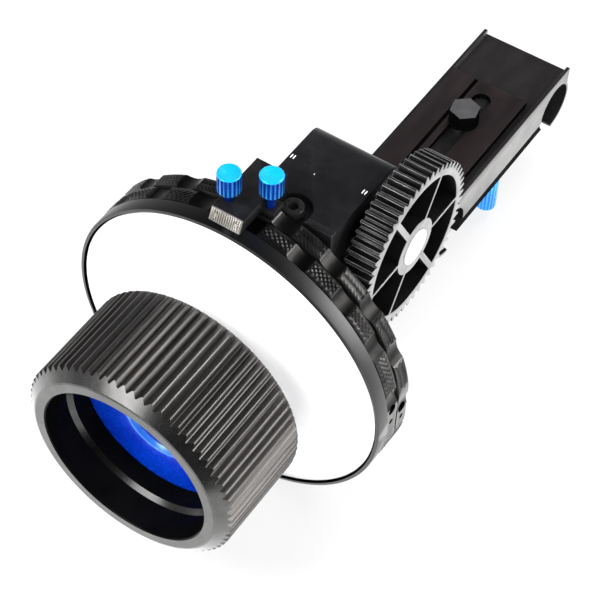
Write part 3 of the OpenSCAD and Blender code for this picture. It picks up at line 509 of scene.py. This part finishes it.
def makeGrip(g):
    # eight columns of vertices to a flute: two on the narrow crest, two in the valley
    count = g["flutes"] * g["perFlute"]
    out, back, front = g["outer"], g["back"], g["front"]
    profile = [(g["bore"] + g["lip"], front), (g["rim"] - g["rimIn"], front),
               (g["rim"], front + g["rimBack"]), (out, g["crestAt"])]
    profile += [(out - inward, back - forward) for inward, forward in g["backRound"]]
    profile += [
        (g["backBore"], back), (g["backBore"], g["webBack"]), (g["webBore"], g["webBack"]),
        (g["webBore"], g["web"]), (g["ledgeTo"], g["web"]),
        (g["ledgeTo"], g["ledgeAt"] + g["ledgeDeep"]), (g["bore"], g["ledgeAt"]),
        (g["bore"], front + g["lip"]),
    ]
    obj = turned("gripBody", profile, count)
    for depth, columns in g["walls"]:
        low = out + (g["floor"] - out) * depth

        def onWall(v):
            return columnOf(v, count) % g["perFlute"] in columns and radiusOf(v.co) > low + close

        setStation(obj, lambda v: onWall(v) and v.co.y / mm < g["crestAt"] + clear,
                   g["crestAt"] + (g["tipAt"] - g["crestAt"]) * depth)
        setRadius(obj, onWall, low)
    makeActive(obj)
    bpy.ops.object.mode_set(mode="EDIT")
    bpy.ops.mesh.select_all(action="SELECT")
    bpy.ops.mesh.normals_make_consistent(inside=False)
    objectMode()
    # the flutes take a painted highlight on the crests and painted shade in the valleys
    paint(obj, finishes["gripFlutes"])
    paint(obj, finishes["gripRim"], lambda f: f.center.y / mm < g["tipAt"] + g["rimDeep"]
          and radiusOf(f.center) > g["bore"] + close)
    # painted shade inside the bore: black anodised like the rest, painted near black and without
    # gloss
    paint(obj, finishes["boreShadeBlack"], lambda f: radiusOf(f.center) < g["bore"] + g["lip"] - aside
          and f.center.y / mm < g["web"] + clear)
    paint(obj, finishes["ledgeGrey"], lambda f: radiusOf(f.center) < g["bore"]
          and 0 < f.center.y / mm - g["ledgeAt"] < g["ledgeDeep"])
    smoothByAngle(obj, g["smooth"])

    def alongCrest(e):
        onCrest = all(columnOf(v, count) % g["perFlute"] in g["crests"]
                      and radiusOf(v.co) > out - close for v in e.verts)
        return onCrest and abs(e.verts[0].co.y - e.verts[1].co.y) > clear * mm

    # the crests shade as if rounded, so that each one catches a thin line of light
    pick(obj, alongCrest, "EDGE")
    bpy.ops.mesh.mark_sharp(clear=True)
    objectMode()
    return ready(obj, "handwheel", "black_grip", "handwheel_grip")


makeGrip(grip)

hub = {
    "floor": -29.0, "web": -26.0, "edge": 22.62, "edgeRound": 0.4, "sink": 1.2, "ringOut": 10.4,
    "ringIn": 9.45, "ringRound": 0.2, "lipIn": 0.15, "lipDeep": 0.12, "socket": 4.1,
    "socketDeep": 1.9, "columns": 128, "smooth": 30,
}


def makeHubPlate(h):
    # a disc with a sunk middle in painted shade, and a conical step round it in a lighter blue as a
    # painted highlight
    y = h["floor"]
    bottom, soft = y + h["sink"], h["ringRound"]
    obj = turned("hubDisc", [
        (0, bottom), (h["ringIn"], bottom), (h["ringIn"] + soft, bottom - soft),
        (h["ringOut"] - h["lipIn"], y + h["lipDeep"]), (h["ringOut"] + soft, y),
        (h["edge"] - h["edgeRound"], y), (h["edge"], y + h["edgeRound"]), (h["edge"], h["web"]),
        (h["socket"], h["web"]), (h["socket"], y + h["socketDeep"]), (0, y + h["socketDeep"]),
    ], h["columns"])
    paint(obj, finishes["hubBlue"])
    # painted highlight on the conical step
    paint(obj, finishes["hubRingHighlight"], lambda f: f.center.y / mm < bottom - aside
          and h["ringIn"] - clear < radiusOf(f.center) < h["ringOut"] + clear)
    # painted shade in the sunk middle
    paint(obj, finishes["hubSinkShade"], lambda f: f.center.y / mm < bottom + aside
          and radiusOf(f.center) < h["ringIn"])
    smoothByAngle(obj, h["smooth"])
    return ready(obj, "handwheel", "blue_anodised", "hub_plate")


makeHubPlate(hub)

disc = {
    "neck": 17.68, "outer": 44.5, "rise": 9.0, "seat": 0.06, "edge": 0.3, "edgeIn": 0.6,
    "edgeRise": 0.52, "columns": 192, "smooth": 40,
    # the hollow between neck and cone: radius, and distance back from the neck's front
    "hollow": [(19.6, 0), (20.3, 0.35), (21.0, 1.3), (22.2, 2.3), (24.4, 3.2), (27.5, 4.1),
               (32.0, 5.35), (38.0, 6.95)],
}


def makeDisc(d):
    # a shallow cone that runs up to the neck in a soft hollow
    r, top = d["outer"], -d["rise"]
    profile = [(d["neck"], top)] + [(radius, top + back) for radius, back in d["hollow"]]
    profile += [(r - d["edgeIn"], -d["edgeRise"]), (r, -d["edge"]), (r, -d["seat"]),
                (d["neck"], -d["seat"])]
    obj = turned("markingDisc", profile, d["columns"])
    paint(obj, finishes["discWhite"])
    smoothByAngle(obj, d["smooth"])
    return ready(obj, "handwheel", "white_disc", "marking_disc")


makeDisc(disc)

bezel = {
    "outer": 46.0, "lipIn": 44.6, "lip": 0.4, "lipSlope": 0.45, "front": -0.9, "back": 3.4,
    "backRound": 0.2, "bore": 12.0, "columns": 192, "smooth": 40,
    # the rounding of the front edge: how far in and how far back
    "frontRound": [(0.45, 0), (0.12, 0.15), (0, 0.45)],
}


def makeBezel(b):
    out, back, soft = b["outer"], b["back"], b["backRound"]
    profile = [(b["bore"], 0), (b["lipIn"], 0), (b["lipIn"], -b["lip"]),
               (b["lipIn"] + b["lipSlope"], b["front"])]
    profile += [(out - inward, b["front"] + deep) for inward, deep in b["frontRound"]]
    profile += [(out, back - soft), (out - soft, back), (b["bore"], back)]
    obj = turned("bezelRing", profile, b["columns"])
    paint(obj, finishes["bezelGrey"])
    # the slope down to the disc is in deep shade
    paint(obj, finishes["paintedShadeBlack"], lambda f: f.center.y < 0
          and radiusOf(f.center) < b["lipIn"] + b["lipSlope"] - aside)
    smoothByAngle(obj, b["smooth"])
    return ready(obj, "handwheel", "dark_aluminium", "disc_bezel")


makeBezel(bezel)
print("handwheel modelled")

# stop rings

ringShape = {
    "outer": 45.88, "peak": 0.32, "margin": 0.25, "edgeIn": 0.3, "edgeStep": (0.1, 0.08),
    "bore": 33.48, "stop": 36.18, "stopWidth": 1.8, "toothHalf": 3.1, "toothBack": 0.001,
    "scallops": 20, "scallopR": 6.0, "scallopDepth": 0.95, "scallopColumns": 64,
    "firstShift": 4.5, "facet": 45.3, "facetHalf": 9, "holeDeep": 4.5, "holeColumns": 32,
    # how far the cutters reach past the ring, and how the scallops' faces are told apart
    "past": 1, "pastFacet": 3, "pastHole": 2, "scoopUnder": 0.12, "scoopFacing": 0.3,
    "smooth": 30,
}


def diamondKnurl(column, row):
    return (column + row) % 2 == 0


def slantedRibs(column, row):
    return (column * 2 + row) % 4 < 2


# a ring's front and back, the turn of its scallops, the height and radius of its holes,
# and the loops and columns of its knurl
ringFront = {
    "from": 3.7, "to": 8.3, "phase": 14, "holes": [(4.0, 1.5), (-0.9, 0.8)],
    "knurl": diamondKnurl, "loops": 6, "columns": 384, "crossed": True,
}
ringRear = {
    "from": 8.95, "to": 13.3, "phase": 6, "holes": [(-0.6, 1.5), (-4.4, 0.8)],
    "knurl": slantedRibs, "loops": 8, "columns": 480, "crossed": False,
}


def makeRing(name, s, ring, body, node):
    # a turned blank, knurled, then cut with scallops, a flat and two holes
    out, inner, stop = s["outer"], s["bore"], s["stop"]
    y0, y1, count = ring["from"], ring["to"], ring["columns"]
    shoulder = y1 - s["stopWidth"]
    stepIn, stepBack = s["edgeStep"]
    step = (y1 - y0 - 2 * s["margin"]) / ring["loops"]
    stations = [y0 + s["margin"] + step * i for i in range(ring["loops"] + 1)]
    profile = [(inner, y0), (out - s["edgeIn"], y0), (out - stepIn, y0 + stepBack)]
    profile += [(out, y) for y in stations]
    profile += [(out - stepIn, y1 - stepBack), (out - s["edgeIn"], y1), (stop, y1),
                (stop, shoulder), (inner, shoulder)]
    obj = turned(name, profile, count)
    rows = {round(y, 2): i for i, y in enumerate(stations[1:-1], 1)}

    def isPeak(v):
        row = rows.get(round(v.co.y / mm, 2))
        return (row is not None and abs(radiusOf(v.co) - out) < close
                and ring["knurl"](columnOf(v, count), row))

    setRadius(obj, isPeak, out + s["peak"])
    if ring["crossed"]:
        # a vertex in the middle of each quad keeps the diamonds even on both diagonals
        pick(obj, lambda f: radiusOf(f.calc_center_median()) > out
             and abs(f.normal.y) < facing)
        bpy.ops.mesh.poke()
        objectMode()
    # the tooth that meets the stop peg
    cutBy(obj, box("tooth", (-stop - clear, shoulder - aside, -s["toothHalf"]),
                   (-inner - aside, y1 - s["toothBack"], s["toothHalf"])), "UNION")
    reach = out + s["scallopR"] - s["scallopDepth"]
    front, back = y0 - s["past"], y1 + s["past"]
    phase, pitch = ring["phase"], 360 / s["scallops"]
    places = [phase - s["firstShift"]] + [phase + i * pitch for i in range(1, s["scallops"] - 1)]
    scallops = [cylinder("scallop", s["scallopR"], front, back, s["scallopColumns"],
                         reach * math.cos(math.radians(a)), reach * math.sin(math.radians(a)))
                for a in places]
    cutBy(obj, joined(scallops, "scallops"))
    cutBy(obj, box("flat", (s["facet"], front, -s["facetHalf"]),
                   (s["facet"] + s["pastFacet"], back, s["facetHalf"])))
    for z, r in ring["holes"]:
        cutBy(obj, cylinder("leverHole", r, s["facet"] - s["holeDeep"],
                            s["facet"] + s["pastHole"], s["holeColumns"], (y0 + y1) / 2, z, "X"))
    paint(obj, finishes["ringBlack"])
    # painted shade: the scallops darker than the rest of the ring
    paint(obj, finishes["scoopShade"], lambda f: abs(f.normal.y) < s["scoopFacing"]
          and -s["scallopDepth"] - clear < radiusOf(f.center) - out < -s["scoopUnder"]
          and f.center.x / mm < s["facet"] - aside)
    smoothByAngle(obj, s["smooth"])
    return ready(obj, body, "ring_aluminium", node)


makeRing("stopRingFront", ringShape, ringFront, "front_ring", "stop_ring_front")
makeRing("stopRingRear", ringShape, ringRear, "rear_ring", "stop_ring_rear")
print("stop rings modelled")

# thumbscrews

thumb = {
    "radius": 3.0, "flutes": 18, "perFlute": 4, "valley": 2, "fluteIn": 2.72, "fluteEnd": 0.7,
    "skin": 0.4, "under": 0.35, "pinColumns": 48, "pinTip": 0.2, "pinInto": 0.01,
    "pinFrom": 0.005, "topFrom": 0.45, "smooth": 35,
    # the rounding of the head's top: how far in and how far down
    "crown": [(0, 0.75), (0, 0.4), (0.12, 0.18), (0.4, 0), (0.75, 0), (0.85, 0.06)],
}
thumbscrews = [
    {"name": "thumbscrewFront", "x": -3.6, "y": 6.0, "low": 53.2, "high": 59.2, "end": 47.55,
     "pin": 1.15, "side": "blueSide", "body": "front_stop_screw", "node": "front_thumbscrew"},
    {"name": "thumbscrewRear", "x": 4.9, "y": 11.125, "low": 53.2, "high": 59.2, "end": 47.55,
     "pin": 1.15, "side": "blueSide", "body": "rear_stop_screw", "node": "rear_thumbscrew"},
    # the clamp screw's sides take painted light
    {"name": "clampThumbscrew", "x": 12.5, "y": 116.3, "low": -30.8, "high": -43.4, "end": -20.2,
     "pin": 1.95, "side": "blueLit", "body": "jaw_screw", "node": "clamp_screw"},
]


def makeThumbscrew(t, screw):
    # turned about Y first, then fluted, and stood on end along Z, head up or down
    count = t["flutes"] * t["perFlute"]
    up = 1 if screw["high"] > screw["low"] else -1
    r, pin = t["radius"], screw["pin"]
    low, high, end = screw["low"] * up, screw["high"] * up, screw["end"] * up
    head = [(0, low), (pin, low), (r - t["under"], low), (r, low + t["under"])]
    head += [(r - inward, high - down) for inward, down in t["crown"]]
    head.append((0, high - t["crown"][-1][1]))
    obj = turned(screw["name"], head, count, closed=False)
    into = low + t["pinInto"]
    shank = turned("pin", [(0, end), (pin - t["pinTip"], end), (pin, end + t["pinTip"]),
                           (pin, into), (0, into)], t["pinColumns"], closed=False)
    setRadius(obj, lambda v: columnOf(v, count) % t["perFlute"] == t["valley"]
              and radiusOf(v.co) > r - t["skin"] and v.co.y / mm < high - t["fluteEnd"],
              t["fluteIn"])
    obj = joined([obj, shank], screw["name"])
    makeActive(obj)
    obj.rotation_euler = (up * math.pi / 2, 0, 0)
    bakePlace(obj)
    moved(obj, screw["x"], screw["y"], 0)
    paint(obj, finishes[screw["side"]])
    # painted shade on the pin under the head, and painted light on the head's top
    paint(obj, finishes["bluePinShade"], lambda f: f.center.z / mm * up < low - t["pinFrom"])
    paint(obj, finishes["blueTopLit"], lambda f: f.center.z / mm * up > high - t["topFrom"])
    smoothByAngle(obj, t["smooth"])
    return ready(obj, screw["body"], "blue_anodised", screw["node"])


for screw in thumbscrews:
    makeThumbscrew(thumb, screw)
print("thumbscrews modelled")

# milled parts: the solids with their edges rounded

milledSmooth = 35
rods = {"y": (86.3, 146.3), "z": -25.2, "r": 7.5, "around": 0.2, "facing": 0.5}
slot = {"top": -14.5, "from": -4.6, "to": 4.6}
bolt = {"x": 1.6, "y": 116.3, "turn": 30, "crown": 1.2, "facing": 0.3}
gearAxis = {"y": 38.2, "z": 24.3, "teethFrom": 20.4, "face": 0.2}


def paintBridge(piece):
    # painted light on the side facing +X, and painted shade inside the hooks
    reach = rods["r"] + rods["around"]
    paint(piece, finishes["bridgeSideLight"], lambda f: f.normal.x > facing)
    paint(piece, finishes["jawBlackAndHookShade"], lambda f: abs(f.normal.x) < rods["facing"] and any(
        math.hypot(f.center.y / mm - y, f.center.z / mm - rods["z"]) < reach
        for y in rods["y"]))


def paintPlate(piece):
    # the slot's and the groove's walls are in deep shade
    paint(piece, finishes["paintedShadeBlack"], lambda f: f.center.z < slot["top"] * mm
          and (slot["from"] < f.center.x / mm < slot["to"] or f.normal.x > facing))


def turnBolt(piece):
    # turned to the photographed angle, with painted shade on the flats round the crown
    axis = Vector((bolt["x"], bolt["y"], 0)) * mm
    piece.data.transform(Matrix.Translation(axis)
                         @ Matrix.Rotation(math.radians(bolt["turn"]), 4, "Z")
                         @ Matrix.Translation(-axis))
    top = max(v.co.z for v in piece.data.vertices)
    paint(piece, finishes["paintedShadeBlack"],
          lambda f: f.normal.z < bolt["facing"] or f.center.z < top - bolt["crown"] * mm)


def paintGear(piece):
    # the painted highlights of the bevelled edges stay on the teeth only, and the front face takes
    # painted light
    face = max(v.co.x for v in piece.data.vertices)
    paint(piece, finishes["gearBlack"], lambda f: math.hypot(
        f.center.y / mm - gearAxis["y"], f.center.z / mm - gearAxis["z"]) < gearAxis["teethFrom"])
    paint(piece, finishes["gearFaceLit"], lambda f: f.center.x > face - gearAxis["face"] * mm)


# a node's piece, body, slot, finish and edge rounding in millimetres
dressed = {
    "gearbox_housing": ("housingShell", "gearbox", "black_aluminium", "caseBlack", 0.35),
    "front_cover": ("coverPlate", "gearbox", "black_aluminium", "caseBlack", 0.2),
    "stop_block": ("stopBlock", "gearbox", "black_aluminium", "blockBlack", 0.18),
    "index_plate": ("indexPlate", "gearbox", "silver_plate", "indexSilver", 0.04),
    "slide_plate": ("slidePlate", "gearbox", "brown_aluminium", "plateBrown", 0.15),
    "rod_bridge": ("rodBridge", "bridge", "black_aluminium", "bridgeGrey", 0.3),
    "clamp_jaw": ("clampJaw", "jaw", "black_aluminium", "jawBlackAndHookShade", 0.2),
    "slide_bolt": ("slideBolt", "bridge", "black_steel", "boltGrey", 0.3),
    "drive_gear": ("driveGear", "output_group", "black_gear", "gearBlack", 0.12),
    "drive_gear_cap": ("driveGearCap", "output_group", "silver_cap", "capWhite", 0.2),
    "top_cap_screw": ("topCapScrew", "gearbox", "black_steel", "screwBlack", 0.12),
    "block_screw": ("blockScrew", "gearbox", "black_steel", "screwBlack", 0.1),
}
# painted highlights for the new edge faces, where they differ, and what else is done to a piece
edged = {"drive_gear": "gearEdgeHighlight", "rod_bridge": "bridgeEdgeHighlight"}
touches = {"rod_bridge": paintBridge, "slide_plate": paintPlate, "slide_bolt": turnBolt,
           "drive_gear": paintGear}
for node, (name, body, slotName, finish, width) in dressed.items():
    piece = mergedCopy(node, name)
    paint(piece, finishes[finish])
    if node in edged:
        piece.data.materials.append(finishes[edged[node]])
    bevelled(piece, width, slot=len(piece.data.materials) - 1)
    smoothByAngle(piece, milledSmooth)
    if node in touches:
        touches[node](piece)
    ready(piece, body, slotName, node)
print("milled parts dressed:", len(dressed))

for node, finish in keptFinishes.items():
    nodes[node].data.materials.clear()
    nodes[node].data.materials.append(finishes[finish])
print("inner nodes finished:", len(keptFinishes))

# ticks on the housing's top

ticks = {
    "top": 42.6, "sunk": 0.1, "proud": 0.03, "round": 0.02, "width": 0.28, "length": 1.3,
    "spacing": 0.75, "dot": 0.26, "pairs": [(-2.5, 31.6), (18.1, 31.8)], "dots": [(5.0, 29.7)],
}


def makeTicks(t):
    places = [(x + side * t["spacing"] / 2, y, t["width"], t["length"])
              for x, y in t["pairs"] for side in (-1, 1)]
    places += [(x, y, t["dot"], t["dot"]) for x, y in t["dots"]]
    marks = [box("tick", (x - wide / 2, y - long / 2, t["top"] - t["sunk"]),
                 (x + wide / 2, y + long / 2, t["top"] + t["proud"]))
             for x, y, wide, long in places]
    obj = joined(marks, "housingTicks")
    bevelled(obj, t["round"], 1)
    paint(obj, finishes["tickWhite"])
    return ready(obj, "gearbox", "white_disc")


makeTicks(ticks)

# floor, light and camera

studio = {
    "floorZ": -46.4, "floorSize": 6000, "floorGrey": 0.86, "floorRough": 0.9, "shadow": 0.25,
    # what metal mirrors: the floor's strength near the unit and far off, and the two distances
    "mirrored": 2.5, "mirroredFar": 0.6, "nearTo": 150, "farFrom": 330,
    # the sky from the ground up, as it lights the unit and as metal mirrors it
    "sky": [(0.0, grey(0.8)), (0.3, (0.6, 0.6, 0.61)), (1.0, (0.4, 0.4, 0.41))],
    "skyMirrored": [(0.0, grey(0.25)), (0.2, grey(0.22)), (0.42, grey(0.12)),
                    (0.62, (0.022, 0.022, 0.025)), (1.0, (0.015, 0.015, 0.018))],
    "flagAt": (72, -128, 30), "flagSize": (150, 170), "flagGrey": 0.004,
    "aim": (0, 40, 0),
    # name, place, size, power, and whether it is only mirrored or only lights the colours
    "lamps": [
        ("keyLeft", (-380, -420, 620), 420, 9.0, False),
        ("fillRight", (520, -300, 420), 420, 4.0, False),
        ("backSoft", (60, 520, 520), 420, 4.0, False),
        ("boxBehind", (400, 222, 215), 320, 2.2, True),
        ("boxFront", (-160, -430, 200), 250, 1.5, True),
    ],
}


def strengthFor(tree, links, rays, toMax):
    # a strength of one, but toMax for the rays that metal mirrors
    strength = tree.new("ShaderNodeMapRange")
    strength.inputs["To Min"].default_value = 1.0
    strength.inputs["To Max"].default_value = toMax
    links.new(rays, strength.inputs["Value"])
    return strength


def makeFloor(s):
    deselectAll()
    bpy.ops.mesh.primitive_plane_add(size=s["floorSize"] * mm, location=(0, 0, s["floorZ"] * mm))
    floor = bpy.context.object
    floor.name = "studioFloor"
    mat = bpy.data.materials.new("floorPale")
    mat.use_nodes = True
    tree, links = mat.node_tree.nodes, mat.node_tree.links
    shader = tree["Principled BSDF"]
    shader.inputs["Base Color"].default_value = (*grey(s["floorGrey"]), 1)
    shader.inputs["Roughness"].default_value = s["floorRough"]
    glow = tree.new("ShaderNodeEmission")
    path = tree.new("ShaderNodeLightPath")
    # what metal mirrors of the floor is bright near the unit and falls off away from it
    coords = tree.new("ShaderNodeTexCoord")
    away = tree.new("ShaderNodeVectorMath")
    away.operation = "LENGTH"
    links.new(coords.outputs["Object"], away.inputs[0])
    fall = spread(tree, links, away.outputs["Value"], s["mirrored"], s["mirroredFar"],
                  s["nearTo"] * mm, s["farFrom"] * mm)
    strength = strengthFor(tree, links, path.outputs["Is Glossy Ray"], s["mirrored"])
    links.new(fall.outputs["Result"], strength.inputs["To Max"])
    links.new(strength.outputs["Result"], glow.inputs["Strength"])
    # the camera sees the glow and a share of the shadow, all other light the pale floor
    seen = tree.new("ShaderNodeMath")
    seen.operation = "MAXIMUM"
    links.new(path.outputs["Is Camera Ray"], seen.inputs[0])
    links.new(path.outputs["Is Glossy Ray"], seen.inputs[1])
    part = tree.new("ShaderNodeMath")
    part.operation = "MULTIPLY"
    part.inputs[1].default_value = 1 - s["shadow"]
    links.new(seen.outputs[0], part.inputs[0])
    mixer = tree.new("ShaderNodeMixShader")
    links.new(part.outputs[0], mixer.inputs["Fac"])
    links.new(shader.outputs[0], mixer.inputs[1])
    links.new(glow.outputs[0], mixer.inputs[2])
    links.new(mixer.outputs[0], tree["Material Output"].inputs["Surface"])
    floor.data.materials.append(mat)


def makeWorld(s):
    # white to the camera, soft to the colours, and dark overhead where metal mirrors it
    world = bpy.data.worlds.new("studioWorld")
    bpy.context.scene.world = world
    world.use_nodes = True
    tree, links = world.node_tree.nodes, world.node_tree.links
    backdrop = tree["Background"]
    coords = tree.new("ShaderNodeTexCoord")
    split = tree.new("ShaderNodeSeparateXYZ")
    links.new(coords.outputs["Generated"], split.inputs[0])
    soft = rampOf(tree, links, split.outputs["Z"], s["sky"])
    mirrored = rampOf(tree, links, split.outputs["Z"], s["skyMirrored"])
    path = tree.new("ShaderNodeLightPath")
    out = soft.outputs["Color"]
    for ray, colour in [("Is Glossy Ray", mirrored.outputs["Color"]), ("Is Camera Ray", None)]:
        mixed = tree.new("ShaderNodeMix")
        mixed.data_type = "RGBA"
        links.new(path.outputs[ray], mixed.inputs["Factor"])
        links.new(out, mixed.inputs["A"])
        if colour:
            links.new(colour, mixed.inputs["B"])
        else:
            mixed.inputs["B"].default_value = (1, 1, 1, 1)
        out = mixed.outputs["Result"]
    links.new(out, backdrop.inputs["Color"])
    power = strengthFor(tree, links, path.outputs["Is Glossy Ray"], s["mirrored"])
    links.new(power.outputs["Result"], backdrop.inputs["Strength"])


def makeFlag(s):
    # a dark flag in front, seen only in reflections
    at = Vector(s["flagAt"])
    bpy.ops.mesh.primitive_plane_add(size=1, location=at * mm)
    flag = bpy.context.object
    flag.name = "studioFlag"
    flag.scale = (s["flagSize"][0] * mm, s["flagSize"][1] * mm, 1)
    flag.rotation_euler = (-at).to_track_quat("Z", "Y").to_euler()
    dark = bpy.data.materials.new("flagBlack")
    dark.use_nodes = True
    shader = dark.node_tree.nodes["Principled BSDF"]
    shader.inputs["Base Color"].default_value = (*grey(s["flagGrey"]), 1)
    shader.inputs["Specular IOR Level"].default_value = 0
    flag.data.materials.append(dark)
    flag.visible_camera = flag.visible_diffuse = flag.visible_shadow = False


def makeLamps(s):
    for name, place, size, power, mirrored in s["lamps"]:
        lamp = bpy.data.lights.new(name, "AREA")
        lamp.shape = "DISK"
        lamp.size = size * mm
        lamp.energy = power
        obj = bpy.data.objects.new(name, lamp)
        bpy.context.collection.objects.link(obj)
        obj.location = Vector(place) * mm
        obj.visible_glossy, obj.visible_diffuse = mirrored, not mirrored
        aim = Vector(s["aim"]) * mm - obj.location
        obj.rotation_euler = aim.to_track_quat("-Z", "Y").to_euler()


makeFloor(studio)
makeWorld(studio)
makeFlag(studio)
makeLamps(studio)

camera = {
    "azimuth": 35.22, "elevation": 52.25, "away": 487.38, "right": 0.11, "up": -5.56,
    "lens": 117.67, "sensor": 36, "shiftX": 0.11558, "shiftY": 0.05786, "clip": (0.01, 20),
}


def makeCamera(c):
    az, el = math.radians(c["azimuth"]), math.radians(c["elevation"])
    right = Vector((math.cos(az), math.sin(az), 0))
    back = Vector((math.sin(az) * math.cos(el), -math.cos(az) * math.cos(el), math.sin(el)))
    up = back.cross(right)
    data = bpy.data.cameras.new("photoCamera")
    data.lens = c["lens"]
    data.sensor_width = c["sensor"]
    data.shift_x, data.shift_y = c["shiftX"], c["shiftY"]
    data.clip_start, data.clip_end = c["clip"]
    obj = bpy.data.objects.new("photoCamera", data)
    bpy.context.collection.objects.link(obj)
    obj.location = (back * c["away"] - right * c["right"] - up * c["up"]) * mm
    obj.rotation_euler = (math.pi / 2 - el, 0, az)
    bpy.context.scene.camera = obj


makeCamera(camera)
bpy.context.scene.view_settings.view_transform = "Standard"
